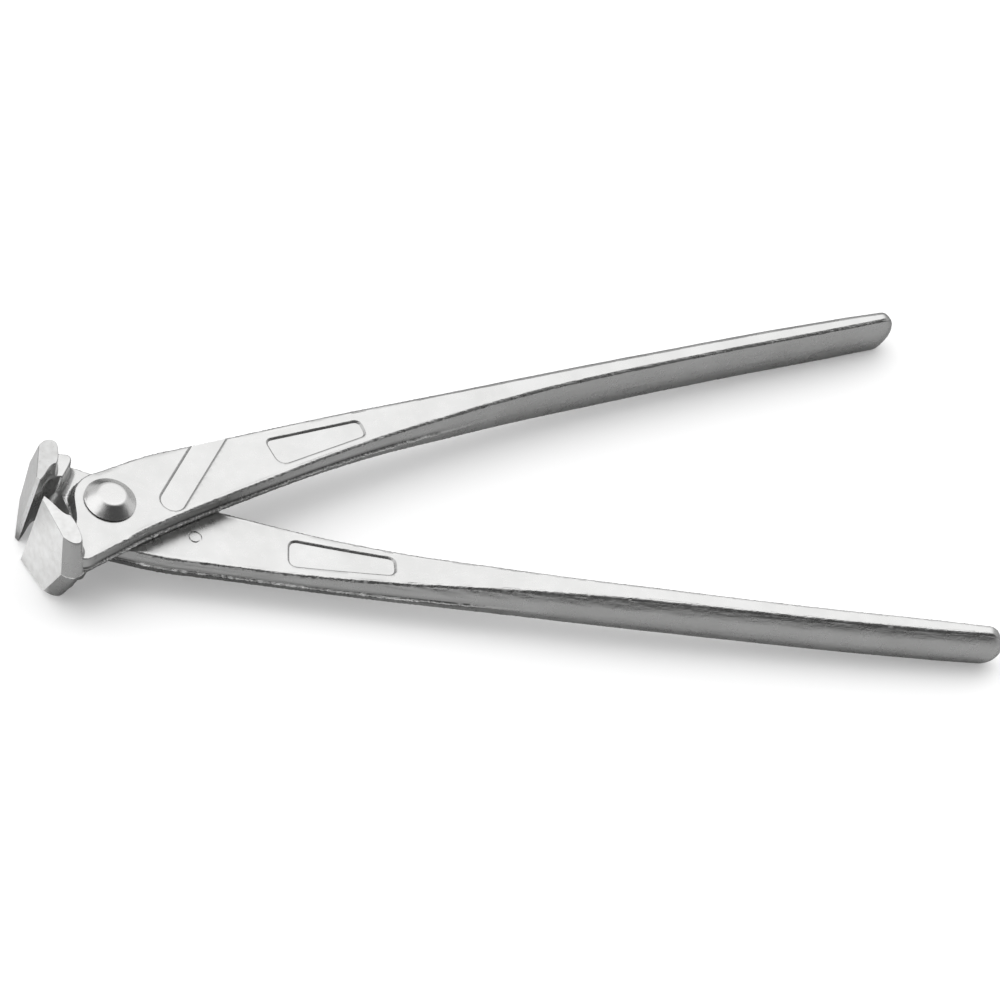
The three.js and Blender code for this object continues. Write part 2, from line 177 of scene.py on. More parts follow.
# Recessed fields and the ring beside the joint. Places are along the arm and across it.
FIELD_DEPTH = 0.5
FIELD_FILLET = 0.2
FIELD_LIP = 0.42  # breadth of a field's worn edge
LIP_DEPTH = 0.26
LIP_ROWS = (0.6, 0.2), (0.25, 0.6), (0, 1)  # shares of its breadth and of its depth
FIELD_WALL = 0.3  # how far the wall leans in, as a share of the fillet
CUTTER_TOP, CUTTER_SKIM = 1.6, 0.001  # how far a cutter stands over the face, and its lip does
OUTER_FIELD = ((47.5, 6.9), (74.3, 6.25), (74.0, 1.45), (47.8, -1.45)), (1.8, 1.9, 1.5, 3.2)
INNER_FIELD = ((47.1, 7.2), (74.3, 6.55), (74.0, 1.35), (47.2, -1.0)), (2.4, 2.2, 1.7, 2.6)
BAND_TURN = math.radians(40.05)  # of the slanted band, against the arm
BAND_MIDDLE, BAND_RADIUS, BAND_START, BAND_STOP = -13.41, 3.3, 9.6, 44.0
RING_PLACE, RING_OUTER, RING_INNER, RING_DEPTH = (23.15, 2.43), 1.85, 1.35, 0.3
RING_OVER, BORE_OVER = 1, 20  # how far the ring's and the bore's cutters stand out of the joint

# The arm's two edges: share of the handle's reach, and breadth as a share of the head's
OUTER_SHARES = (
    (0.035, 0.934), (0.059, 0.984), (0.083, 1), (0.109, 0.986), (0.175, 0.963), (0.306, 0.897),
    (0.437, 0.778), (0.568, 0.674), (0.699, 0.55), (0.83, 0.417), (0.939, 0.264), (1, 0.152),
)
INNER_SHARES = (
    (0.026, -1.004), (0.087, -0.772), (0.175, -0.495), (0.262, -0.232), (0.349, -0.024),
    (0.437, 0.101), (0.502, 0.184), (0.568, 0.222), (0.655, 0.201), (0.742, 0.145), (0.83, 0.07),
    (0.917, -0.024), (1, -0.096),
)
CURVE_COUNT = 25  # points drawn from one entry of these tables to the next


def smooth(x, low, high):
    """0 up to low and 1 from high, with a smooth step between them."""
    t = np.clip((np.asarray(x, float) - low) / (high - low), 0, 1)
    return t * t * (3 - 2 * t)


def lerp(a, b, t):
    """From a to b as t goes from 0 to 1."""
    return a + (b - a) * t


def unit(vectors):
    """Vectors scaled to a length of one."""
    return vectors / (np.linalg.norm(vectors, axis=-1)[..., None] + TINY)


def turn(points, angle):
    """Plan points turned about the pivot."""
    c, s = math.cos(angle), math.sin(angle)
    points = np.asarray(points, float)
    x, y = points[..., 0], points[..., 1]
    return np.stack([x * c - y * s, x * s + y * c], -1)


def bezier(*corners, count=12, last=False):
    """Points of a Bezier curve with the given control points, without its end unless last."""
    t = np.linspace(0, 1, count + 1)[:, None]
    if not last:
        t = t[:-1]
    points = [np.asarray(c, float)[None] for c in corners]
    while len(points) > 1:
        points = [a * (1 - t) + b * t for a, b in zip(points, points[1:])]
    return points[0]


def edge_curve(first, shares):
    """Catmull-Rom curve through a table of shares of the handle's reach and the head's breadth."""
    p = np.array([first] + [(a * HANDLE_REACH, b * HEAD_BREADTH) for a, b in shares])
    t = np.linspace(0, 1, CURVE_COUNT)[:, None]
    drawn = []
    for k in range(len(p) - 1):
        p0, p1, p2, p3 = p[max(k - 1, 0)], p[k], p[k + 1], p[min(k + 2, len(p) - 1)]
        v0, v1 = (p2 - p0) / 2, (p3 - p1) / 2
        cubed, squared = 2 * p1 - 2 * p2 + v0 + v1, -3 * p1 + 3 * p2 - 2 * v0 - v1
        drawn.append(cubed * t**3 + squared * t**2 + v0 * t + p1)
    drawn = np.vstack(drawn)
    return lambda along: np.interp(along, drawn[:, 0], drawn[:, 1])


outer_edge = edge_curve((0, NOSE_RADIUS), OUTER_SHARES)
inner_edge = edge_curve((0, -NEAR_BREADTH), INNER_SHARES)


def underside(along):
    """Height of a half's inner face, from the joint plane down to the handle's full depth."""
    return lerp(UNDERSIDE, -HALF_HEIGHT, smooth(along / HANDLE_REACH, *THICKENING))


def shifted(loop, distance):
    """A closed loop of plan points moved outwards."""
    run = np.roll(loop, -1, 0) - np.roll(loop, 1, 0)
    away = unit(np.column_stack([run[:, 1], -run[:, 0]]))
    x, y = loop.T
    turned = np.sign(np.sum(x * np.roll(y, -1) - y * np.roll(x, -1)))
    return loop + away * turned * np.reshape(distance, (-1, 1))


def new_object(name, mesh):
    piece = bpy.data.objects.new(name, mesh)
    bpy.context.scene.collection.objects.link(piece)
    return piece


def mesh_of(name, verts, faces):
    """An object with a clean mesh: points welded, slivers dissolved and faces turned outwards."""
    mesh = bpy.data.meshes.new(name)
    mesh.from_pydata(np.asarray(verts).tolist(), [], faces)
    bm = bmesh.new()
    bm.from_mesh(mesh)
    bmesh.ops.remove_doubles(bm, verts=bm.verts, dist=WELD)
    bmesh.ops.dissolve_degenerate(bm, edges=bm.edges, dist=SLIVER)
    bmesh.ops.recalc_face_normals(bm, faces=bm.faces)
    bm.to_mesh(mesh)
    bm.free()
    return new_object(name, mesh)


def skin(name, rings, strips=False):
    """Closed skin over rings of points, capped at both ends. With strips the caps are strips
    between the first and the second half of a ring, so that they follow a curved face."""
    rings = np.asarray(rings)
    rows, count = rings.shape[:2]
    faces = []
    for r in range(rows - 1):
        a = r * count
        for i in range(count):
            j = (i + 1) % count
            faces.append((a + i, a + j, a + count + j, a + count + i))
    for first in (0, (rows - 1) * count):
        if strips:
            for i in range(count // 2 - 1):
                j = count - 1 - i
                faces.append((first + i, first + i + 1, first + j - 1, first + j))
        else:
            faces.append(tuple(range(first, first + count)))
    return mesh_of(name, rings.reshape(-1, 3), faces)


def combine(piece, others, operation):
    """The piece joined with the others or cut by them; the others are used up."""
    for other in others:
        modifier = piece.modifiers.new(operation.lower(), "BOOLEAN")
        modifier.operation = operation
        modifier.solver = "MANIFOLD"
        modifier.object = other
    bpy.context.view_layer.update()
    evaluated = piece.evaluated_get(bpy.context.evaluated_depsgraph_get())
    made = bpy.data.meshes.new_from_object(evaluated)
    piece.modifiers.clear()
    piece.data = made
    for other in others:
        bpy.data.objects.remove(other)
    return piece


def mouth_curve(inset, count):
    """Plan outline of the mouth beside the nose, from inside the jaw to the round of the nose."""
    (floor_x, floor_y), (bend_x, bend_y) = MOUTH_BENDS
    return bezier(
        (-JAW_BACK * MOUTH_START[0], -HOLLOW_DEPTH * MOUTH_START[1] - inset),
        (-NOSE_RADIUS * floor_x + inset / 2, -HOLLOW_DEPTH * floor_y - inset / 2),
        (-NOSE_RADIUS * bend_x + inset, -HOLLOW_DEPTH * bend_y),
        (NOSE_RADIUS - inset) * np.array((math.cos(NOSE_END), math.sin(NOSE_END))),
        count=count, last=True,
    )


def arm_stations():
    """Arrays of the plan's outer and inner points and what shapes the section between them."""
    t = np.arange(HEAD_ROWS) / HEAD_ROWS
    angle = lerp(NOSE_END, math.radians(90) + LEAN, t)
    nose = NOSE_RADIUS * np.stack([np.cos(angle), np.sin(angle)], -1)
    near = turn((0, -NEAR_BREADTH), LEAN)
    heel_end = lerp(near, HEEL, HEEL_SHARE)
    heel = bezier((-INSIDE_JAW, -JAW_OUTER), HEEL, heel_end, count=HEAD_ROWS)
    draft = MOUTH_DRAFT * (1 - smooth(np.concatenate([t, 1 + 2 * t]), *DRAFT_FADE))
    head = len(draft)

    along = np.arange(0, HANDLE_REACH, ARM_PITCH)
    dome = np.linspace(0, DOME_STOP, DOME_ROWS)
    reach = np.concatenate([along, HANDLE_REACH + HANDLE_DOME * np.sin(dome)])
    shrink = np.concatenate([np.ones(len(along)), np.cos(dome) ** DOME_POWER])
    middle = (outer_edge(HANDLE_REACH) + inner_edge(HANDLE_REACH)) / 2

    def handle(edge):
        """Plan points of one edge of the handle and its domed end."""
        end = lerp(middle, edge(HANDLE_REACH), shrink)
        return turn(np.stack([reach, np.where(reach < HANDLE_REACH, edge(reach), end)], -1), LEAN)

    return {
        "outer": np.vstack([mouth_curve(0, HEAD_ROWS)[:-1], nose, handle(outer_edge)]),
        "inner": np.vstack([heel, lerp(heel_end, near, t[:, None]), handle(inner_edge)]),
        "along": np.concatenate([np.zeros(head), reach]),
        "shrink": np.concatenate([np.ones(head), shrink]),
        "draft": np.concatenate([draft, np.zeros(len(reach))]),
        "head": head,
    }


def plan_normals(points, sign):
    """Directions square to a line of plan points, on its left side where sign is 1."""
    run = unit(np.gradient(points, axis=0))
    return sign * np.stack([-run[:, 1], run[:, 0]], -1)


def arm_rings():
    """Sections of the arm from inside the jaw to the domed end, the stations that they stand on,
    and how far each has gone from the plate's form to the handle's."""
    st = arm_stations()
    share = st["along"] / HANDLE_REACH
    rounding = smooth(share, *BULGING)
    top = HALF_HEIGHT * st["shrink"]
    bottom = underside(st["along"]) * st["shrink"]
    middle, half = (top + bottom) / 2, (top - bottom) / 2
    soft = lerp(EDGE_SOFT_PLATE, EDGE_SOFT_HANDLE, rounding)
    soft = np.where(np.arange(len(share)) < st["head"], EDGE_SOFT_HEAD, soft) * st["shrink"]
    step = EDGE_DROP * soft / half
    pull = lerp(EDGE_PULL_PLATE, EDGE_PULL_HANDLE, rounding)[:, None]
    crease = lerp(1, EDGE_CREASE, rounding)[:, None]
    across = unit(st["outer"] - st["inner"])
    normals = {"outer": plan_normals(st["outer"], 1), "inner": plan_normals(st["inner"], -1)}
    st["normals"] = normals

    def at(end, height, bulge, draft):
        """Points of one side at a height, from 1 at the top face to -1 at the underside."""
        size = lerp(RIDGE_BULGE, bulge, rounding) * st["shrink"]
        out = size * (1 - np.abs(height) ** (1 + rounding)) - draft * (1 - height) / 2
        plan = st[end] + normals[end] * out[:, None]
        return np.column_stack([plan, middle + half * height])

    def side(end, bulge, draft, inward):
        """From the top face round the soft edge, down the side and under, for one end."""
        ones = np.ones(len(share))
        a_top = np.column_stack([st[end] + inward * soft[:, None], top])
        c_top = np.column_stack([st[end], top])
        under = at(end, -ones, bulge, draft)
        a_low = under + np.column_stack([inward * soft[:, None], 0 * ones])
        spread = [math.cos(math.pi / 2 * k / (HALF_SIDE + 1)) for k in range(HALF_SIDE)]
        heights = [c * (1 - step) for c in spread] + [c * ones for c in RIDGE_ROWS]
        heights += [-c * (1 - step) for c in spread[::-1]]
        body = [at(end, height, bulge, draft) for height in heights]
        t = np.linspace(0, 1, CORNER_COUNT + 1)[:, None, None]
        first, second = lerp(a_top, c_top, pull * crease), lerp(body[0], c_top, pull)
        bend = 3 * t * (1 - t) * ((1 - t) * first + t * second)
        up = (1 - t) ** 3 * a_top + bend + t**3 * body[0]
        down = (1 - t) ** 2 * body[-1] + 2 * t * (1 - t) * under + t**2 * a_low
        return np.concatenate([up[:-1], body, down[1:]]), a_top, a_low

    out_side, out_top, out_low = side("outer", BULGE_OUTER, st["draft"], -across)
    in_side, in_top, in_low = side("inner", BULGE_INNER, 0 * share, across)
    t = (1 - np.cos(np.linspace(0, math.pi, TOP_COUNT + 1)[1:-1]))[:, None, None] / 2
    under = lerp(out_low, in_low, t)
    over = lerp(in_top, out_top, t)
    rings = np.concatenate([out_side, under, in_side[::-1], over]).transpose(1, 0, 2)
    return rings, st, rounding


def stretched_noise(point, scale, shift):
    """Noise at a point with a scale for each axis, read at a shift."""
    return noise.noise(Vector([a * b for a, b in zip(point, scale)]) + shift)


def roughen(rings, st, rounding):
    """Forged unevenness along the edges and the parting ridge, moved along the skin's normals."""
    count = rings.shape[1]
    side_len = SIDE_COUNT + 2 * CORNER_COUNT
    ridge = CORNER_COUNT + HALF_SIDE
    from_end = np.minimum(np.arange(side_len), np.arange(side_len)[::-1])
    corner = np.exp(-(((from_end - CORNER_COUNT + 1) / CORNER_SPREAD) ** 2))
    lip = np.zeros(side_len)
    lip[ridge : ridge + len(RIDGE_ROWS)] = RIDGE_OUT
    flat = np.zeros(TOP_COUNT - 1)
    lip = np.concatenate([lip, flat, lip[::-1], flat])
    corner = np.concatenate([corner, flat, corner, flat])
    body = np.concatenate([np.ones(side_len), flat] * 2)
    first_half = np.arange(count) < side_len + len(flat)
    round_ring = np.roll(rings, -1, axis=1) - np.roll(rings, 1, axis=1)
    normal = unit(np.cross(round_ring, np.gradient(rings, axis=0)))
    live = smooth(np.arange(len(rings)), *ROUGH_START) * smooth(st["shrink"], *ROUGH_END)
    flash = live * (1 - smooth(rounding, *FLASH_FADE))
    moved = rings.copy()
    for r in np.flatnonzero(live > 0):
        edge_noise = lerp(EDGE_NOISE_PLATE, EDGE_NOISE_HANDLE, rounding[r])
        for i in np.flatnonzero(body):
            p = Vector(rings[r, i])
            fine = sum(size * noise.noise(p * scale + shift) for size, scale, shift in FINE_NOISE)
            wave = stretched_noise(p, WAVE_SCALE, SEED)
            groove = stretched_noise(p, GROOVE_SCALE, -SEED)
            on_edge = edge_noise * corner[i] * fine
            on_side = (1 - corner[i]) * (SIDE_NOISE * fine + GROOVE_NOISE * groove)
            move = live[r] * (on_edge + on_side + WAVE_NOISE * wave)
            moved[r, i] += normal[r, i] * move
            if lip[i]:
                torn = stretched_noise(p, TORN_SCALE, SEED * -2)
                chip = stretched_noise(p, CHIP_SCALE, SEED * 3)
                chip += stretched_noise(p, NICK_SCALE, SEED * 0)
                size = FLASH_MEAN + FLASH_TORN * torn + FLASH_CHIPPED * chip
                size = FLASH * flash[r] * lip[i] * max(size, FLASH_LEAST)
                end = "outer" if first_half[i] else "inner"
                moved[r, i, :2] += st["normals"][end][r] * min(size, FLASH * FLASH_MOST)
    return moved


def jaw_outline(grow, back):
    """Outline of the jaw at one place of its width: bevel, ground face, outer side, heel, back
    face and hollow. grow is how much deeper the jaw is there, back how far its back face is out."""
    face = np.array((math.sin(FACE_LEAN), -math.cos(FACE_LEAN)))
    edge = np.array((-EDGE_REACH, 0.0))
    bevel = edge + BEVEL
    corner = bevel + face * (FACE_LENGTH + grow)
    depth = -JAW_OUTER + face[1] * grow
    back_x = -JAW_BACK + back
    heel_x = lerp(bevel[0], -JAW_BACK, OUTER_RUN) + face[0] * grow
    hollow_x = -JAW_BACK - (EDGE_REACH - JAW_BACK) * HOLLOW_START + back
    heel, hollow = (back_x, depth * HEEL_ROUND), (hollow_x, -HOLLOW_DEPTH)
    bends = [(lerp(hollow_x, edge[0], a), -HOLLOW_DEPTH * b) for a, b in HOLLOW_BENDS]
    curves = (
        (edge, bevel),
        (bevel, corner),
        (corner, ((corner[0] + heel_x) / 2, depth), (heel_x, depth)),
        ((heel_x, depth), (back_x, depth), heel),
        (heel, (back_x, -HOLLOW_DEPTH * HOLLOW_CORNER), hollow),
        (hollow, *bends, edge),
    )
    return np.vstack([bezier(*curve, count=count) for curve, count in zip(curves, JAW_COUNTS)])


def foot_spread(height, wall):
    """How far the jaw's back face is out at a height over the plate: its lean and its fillet."""
    slope = 1 - min(max(height / wall, 0), 1)
    rounded = 1 - min(height / (FOOT_RADIUS * 2), 1)
    return WALL_FLARE * slope + FOOT_RADIUS * rounded * rounded


def jaw_flash(plan, share):
    """The jaw's outline with the trimmed flash of the parting line, only on its outer side."""
    index = np.arange(len(plan))
    corner, heel = sum(JAW_COUNTS[:2]), sum(JAW_COUNTS[:4])
    live = smooth(index, corner, corner + 3) * (1 - smooth(index, heel - 3, heel + 1))
    torn = np.array([stretched_noise((x, y, 0), JAW_TORN_SCALE, SEED) for x, y in plan])
    size = np.clip(FLASH_MEAN + torn, *JAW_FLASH_RANGE)
    return shifted(plan, JAW_FLASH * share * live * size)


def jaw_piece():
    """The jaw, as outlines from one ground end to the other, its parting line climbing aft."""
    end = JAW_WIDTH / 2
    wall = end - HALF_HEIGHT
    rim = end - END_DROP
    levels = list(np.linspace(0, HALF_HEIGHT, PLATE_LEVELS)[1:-1])
    levels += list(HALF_HEIGHT + FOOT_RADIUS * np.linspace(0, 2, FOOT_LEVELS))
    levels += WALL_LEVELS + [end - END_EDGE, end]
    rings = []
    for z in [-z for z in levels[::-1]] + list(FLASH_LEVELS) + levels:
        height = abs(z)
        at_end = height >= end - END_EDGE
        grow = FACE_GROWTH * (1 - min(height, rim) / rim)
        plan = jaw_outline(grow, foot_spread(max(height - HALF_HEIGHT, 0), wall))
        if height == end:
            plan = shifted(plan, -END_EDGE)
        if z in FLASH_LEVELS:
            plan = jaw_flash(plan, FLASH_LEVELS[z])
        x, depth = plan[:, 0], -plan[:, 1]
        drop = END_DROP * depth / JAW_OUTER * at_end
        outward = smooth(depth, HOLLOW_DEPTH, JAW_OUTER)
        inside = smooth(x, -JAW_BACK - HOLLOW_RUN, -JAW_BACK + WALL_FLARE)
        outside = np.clip((x + JAW_BACK + RISE_RUN) / (RISE_RUN + WALL_FLARE), 0, 1)
        aft = lerp(inside, outside, outward**RISE_BLEND)
        rise = PARTING_RISE * aft * outward * (1 - height / end) ** 2
        rings.append(np.column_stack([plan, z - np.sign(z) * drop + rise]))
    return skin("jaw", rings)


def neck_piece():
    """The jaw's root below the joint plane, with the coved seat that the other half's nose turns
    in. A level is how far the seat is cut back, a height, and an inset for the soft edge."""
    rim = NOSE_RADIUS + SEAT_CLEARANCE + SEAT_RADIUS + SEAT_DRAFT
    mouth = mouth_curve(MOUTH_DRAFT, MOUTH_COUNT)
    reach = np.linalg.norm(mouth, axis=1)
    index = np.arange(len(mouth))

    def index_at(radius):
        """Where on the mouth's curve its distance from the pivot is this radius."""
        return np.interp(-radius, -reach, index)

    levels = [(0, UNDERSIDE + SEAT_RADIUS, 0)]
    turns = np.linspace(0, math.pi / 2, COVE_LEVELS)
    for a in turns:
        levels.append((SEAT_RADIUS * math.sin(a), -SEAT_RADIUS * (1 - math.cos(a)) - UNDERSIDE, 0))
    for a in turns[::2]:
        low, inset = NECK_SOFT * (1 - math.sin(a)), NECK_SOFT * (1 - math.cos(a))
        levels.append((SEAT_RADIUS + SEAT_DRAFT, low - HALF_HEIGHT, inset))
    rings = []
    for cut, z, inset in levels:
        seat = NOSE_RADIUS + SEAT_CLEARANCE + cut
        spread = rim - seat
        back = -NECK_BACK + spread
        outer = -NECK_OUTER - spread * NECK_WIDENING
        places = np.linspace(index_at(rim + SEAT_CLEARANCE / 2), index_at(seat), WALL_COUNT)
        wall = np.column_stack([np.interp(places, index, mouth[:, k]) for k in (0, 1)])
        front, end = wall[-1], np.array((back, outer + NECK_ROUND))
        square = np.array((-front[1], front[0])) / np.linalg.norm(front)
        run = square * np.linalg.norm(end - front) / 3
        corner = (back, outer + NECK_ROUND), (back, outer), (back - NECK_ROUND, outer)
        plan = np.vstack([
            [(-INSIDE_JAW, -HOLLOW_DEPTH)],
            wall[:-1],
            bezier(front, front + run, lerp(front, end, SEAT_BENDS), end, count=24),
            bezier(*corner, count=8, last=True),
            [(-INSIDE_JAW, outer)],
        ])
        rings.append(np.column_stack([shifted(plan, -inset), np.full(len(plan), z)]))
    return skin("neck", rings)


def circle(radius, count):
    """Points of a circle about the origin, as x and y."""
    a = np.linspace(0, 2 * math.pi, count, endpoint=False)
    return radius * np.cos(a), radius * np.sin(a)


def round_plug(radius, low, high, centre=(0, 0), count=96):
    """An upright cylinder."""
    x, y = circle(radius, count)
    ring = np.column_stack([centre[0] + x, centre[1] + y])
    return skin("plug", [np.column_stack([ring, np.full(count, z)]) for z in (low, high)])


def field_cutter(s, low, high, turned, face, sign):
    """Cutter for a recessed field. s runs along the field, low and high are its two borders,
    turned brings such plan points into the half's frame, face gives the surface's height there, and
    sign is 1 for a field in the outer face, -1 for one in the inner face."""
    loop = np.vstack([np.column_stack([s, low]), np.column_stack([s, high])[::-1]])
    floor = FIELD_FILLET - FIELD_DEPTH
    rows = [(FIELD_LIP + CUTTER_TOP, CUTTER_TOP), (FIELD_LIP, CUTTER_SKIM)]
    rows += [(FIELD_LIP * out, -LIP_DEPTH * deep) for out, deep in LIP_ROWS]
    rows += [(-FIELD_FILLET * FIELD_WALL, floor), (-FIELD_FILLET, -FIELD_DEPTH)]
    rings = []
    for out, z in rows:
        edge = shifted(loop, out)
        rings.append([(*turned(a, y), face(a) + sign * z) for a, y in edge])
    return skin("field", rings, strips=True)


def rounded_borders(corners, radii):
    """Places along a four-cornered field with rounded corners, and its lower and upper border
    there."""
    corners = np.array(corners, float)
    path = []
    for k in range(4):
        p, before, after = corners[k], corners[k - 1], corners[(k + 1) % 4]
        a = p + (before - p) / np.linalg.norm(before - p) * radii[k]
        b = p + (after - p) / np.linalg.norm(after - p) * radii[k]
        path.append(bezier(a, p, b, count=8, last=True))
    path = np.vstack(path)
    steps = zip(path, np.roll(path, -1, 0))
    fine = np.vstack([np.linspace(a, b, 12, endpoint=False) for a, b in steps])
    left, right = fine[:, 0].argmin(), fine[:, 0].argmax()
    fine = np.roll(fine, -left, 0)
    right = (right - left) % len(fine)
    one, two = fine[: right + 1], np.vstack([fine[right:], fine[:1]])[::-1]
    upper, lower = (one, two) if one[:, 1].mean() > two[:, 1].mean() else (two, one)
    end_gap, least = 0.01, 0.2  # so that the two borders don't meet
    ends = 0.5 * (1 - np.cos(np.linspace(0, math.pi, 60)))
    s = lerp(fine[:, 0].min() + end_gap, fine[:, 0].max() - end_gap, ends)
    up = np.interp(s, upper[:, 0], upper[:, 1])
    down = np.interp(s, lower[:, 0], lower[:, 1])
    return s, down, np.maximum(up, down + least)


def field_cutters():
    """Cutters for the slanted band, the field in the outer face and that in the inner face."""
    def arm(a, y):
        return turn((a, y), LEAN)

    def band(a, y):
        return arm(*turn((a, y), BAND_TURN))

    def top(a):
        return HALF_HEIGHT

    # The band is round at its lower end and open at the plate's outer edge.
    turns = np.linspace(math.radians(4), math.pi / 2, 16)
    straight = np.linspace(BAND_START + 1, BAND_STOP, 20)
    s = np.concatenate([BAND_START - BAND_RADIUS * np.cos(turns), straight])
    w = np.concatenate([BAND_RADIUS * np.sin(turns), np.full(len(straight), BAND_RADIUS)])
    return [
        field_cutter(s, BAND_MIDDLE - w, BAND_MIDDLE + w, band, top, 1),
        field_cutter(*rounded_borders(*OUTER_FIELD), arm, top, 1),
        field_cutter(*rounded_borders(*INNER_FIELD), arm, underside, -1),
    ]


def ring_cutter():
    """Cutter for the shallow ring in the inner face of the plate."""
    centre = turn(RING_PLACE, LEAN)
    ring = round_plug(RING_OUTER, -RING_OVER, UNDERSIDE + RING_DEPTH, centre)
    core = round_plug(RING_INNER, -2 * RING_OVER, RING_OVER, centre)
    return combine(ring, [core], "DIFFERENCE")


NOISE_DETAIL, NOISE_ROUGHNESS = 4.0, 0.55
CLOUD_RANGE = (0.3, 0.7)  # noise at which clouds are the one colour and the other
PATCH_SCALE = 4  # how much finer the patches of roughness are than the clouds of colour
# The seam's tone: the trimmed flash lighter, partly its own tone and partly a painted highlight,
# and the scale beside it darker with painted shade
SEAM_TONE_GLINT_AND_SHADE = 0.75  # how much the trimmed flash is lighter, and the scale beside it darker
SIDE_GRAIN, EDGE_GRAIN = 0.24, 0.7
# A slope is how square a face is to the pivot: 0 is upright, 1 square. The grain's strength goes
# by slope, and so does the painted shade that makes sloping edges darker.
GRAIN_STOPS = (
    (0.0, SIDE_GRAIN), (0.4, SIDE_GRAIN), (0.6, EDGE_GRAIN), (0.97, EDGE_GRAIN), (0.9995, 0.0),
)
EDGE_SHADE_SLOPES = (0.4, 0.6, 0.93, 0.99)
ROUND = (1, 1, 1)  # noise that isn't stretched


def node_material(name):
    material = bpy.data.materials.new(name)
    material.use_nodes = True
    return material, material.node_tree.nodes["Principled BSDF"]


def noise_node(nodes, links, coords, scale, stretch=ROUND):
    """Noise in the object's own coordinates."""
    mapping = nodes.new("ShaderNodeMapping")
    mapping.inputs["Scale"].default_value = stretch
    links.new(coords.outputs["Object"], mapping.inputs["Vector"])
    texture = nodes.new("ShaderNodeTexNoise")
    texture.inputs["Scale"].default_value = scale
    texture.inputs["Detail"].default_value = NOISE_DETAIL
    texture.inputs["Roughness"].default_value = NOISE_ROUGHNESS
    links.new(mapping.outputs["Vector"], texture.inputs["Vector"])
    return texture.outputs["Fac"]


def ramp_node(nodes, links, value, stops):
    """Colours by a value, from stops of position and colour."""
    ramp = nodes.new("ShaderNodeValToRGB")
    elements = ramp.color_ramp.elements
    while len(elements) < len(stops):
        elements.new(0.5)
    for element, (position, colour) in zip(elements, stops):
        element.position = position
        element.color = (*colour, 1)
    links.new(value, ramp.inputs["Fac"])
    return ramp.outputs["Color"]


def clouded(nodes, links, coords, scale, low, high):
    """Two colours in clouds."""
    clouds = noise_node(nodes, links, coords, scale)
    return ramp_node(nodes, links, clouds, list(zip(CLOUD_RANGE, (low, high))))


def by_slope(nodes, links, coords, stops):
    """A value by the slope of a face, from stops of slope and value."""
    split = nodes.new("ShaderNodeSeparateXYZ")
    links.new(coords.outputs["Normal"], split.inputs["Vector"])
    size = nodes.new("ShaderNodeMath")
    size.operation = "ABSOLUTE"
    links.new(split.outputs["Z"], size.inputs[0])
    greys = [(position, (value,) * 3) for position, value in stops]
    return ramp_node(nodes, links, size.outputs["Value"], greys)


def scaled(nodes, links, value, low, high):
    """A value from 0 to 1 brought to the range from low to high."""
    ramp = nodes.new("ShaderNodeMapRange")
    ramp.inputs["To Min"].default_value = low
    ramp.inputs["To Max"].default_value = high
    links.new(value, ramp.inputs["Value"])
    return ramp.outputs["Result"]


def steel(name, low, high, rough, layers, blotch=90.0, edge=1.0):
    """Bare or plated steel: cloudy colour and roughness, a painted highlight on the trimmed flash
    and painted shade beside it by the seam's tone, painted shade on sloping edges, where the colour
    is multiplied by edge, and bump layers of stretched noise. A layer is scale, stretch, bump
    strength on flat faces, on sides, and depth in metres."""
    material, bsdf = node_material(name)
    nodes, links = material.node_tree.nodes, material.node_tree.links
    bsdf.inputs["Metallic"].default_value = 1.0
    coords = nodes.new("ShaderNodeTexCoord")
    # Painted highlight on the trimmed flash and painted shade beside it, from the seam's tone
    seam_tone_glint_and_shade = nodes.new("ShaderNodeAttribute")
    seam_tone_glint_and_shade.attribute_name = "seam_tone_glint_and_shade"
    shade = nodes.new("ShaderNodeVectorMath")
    shade.operation = "MULTIPLY_ADD"
    shade.inputs[1].default_value = (SEAM_TONE_GLINT_AND_SHADE,) * 3
    shade.inputs[2].default_value = (1, 1, 1)
    links.new(seam_tone_glint_and_shade.outputs["Fac"], shade.inputs[0])
    # Painted shade: sloping edges darkened by edge
    edge_shade = by_slope(nodes, links, coords, list(zip(EDGE_SHADE_SLOPES, (1.0, edge, edge, 1.0))))
    colour = clouded(nodes, links, coords, blotch, low, high)
    for factor in (shade.outputs["Vector"], edge_shade):
        times = nodes.new("ShaderNodeVectorMath")
        times.operation = "MULTIPLY"
        links.new(colour, times.inputs[0])
        links.new(factor, times.inputs[1])
        colour = times.outputs["Vector"]
    links.new(colour, bsdf.inputs["Base Color"])
    greys = [(value,) * 3 for value in rough]
    patches = clouded(nodes, links, coords, blotch * PATCH_SCALE, *greys)
    links.new(patches, bsdf.inputs["Roughness"])
    grain = by_slope(nodes, links, coords, GRAIN_STOPS)
    last = None
    for scale, stretch, flat, side, depth in layers:
        bump = nodes.new("ShaderNodeBump")
        bump.inputs["Distance"].default_value = depth
        links.new(scaled(nodes, links, grain, flat, side), bump.inputs["Strength"])
        links.new(noise_node(nodes, links, coords, scale, stretch), bump.inputs["Height"])
        if last:
            links.new(last, bump.inputs["Normal"])
        last = bump.outputs["Normal"]
    links.new(last, bsdf.inputs["Normal"])
    return material


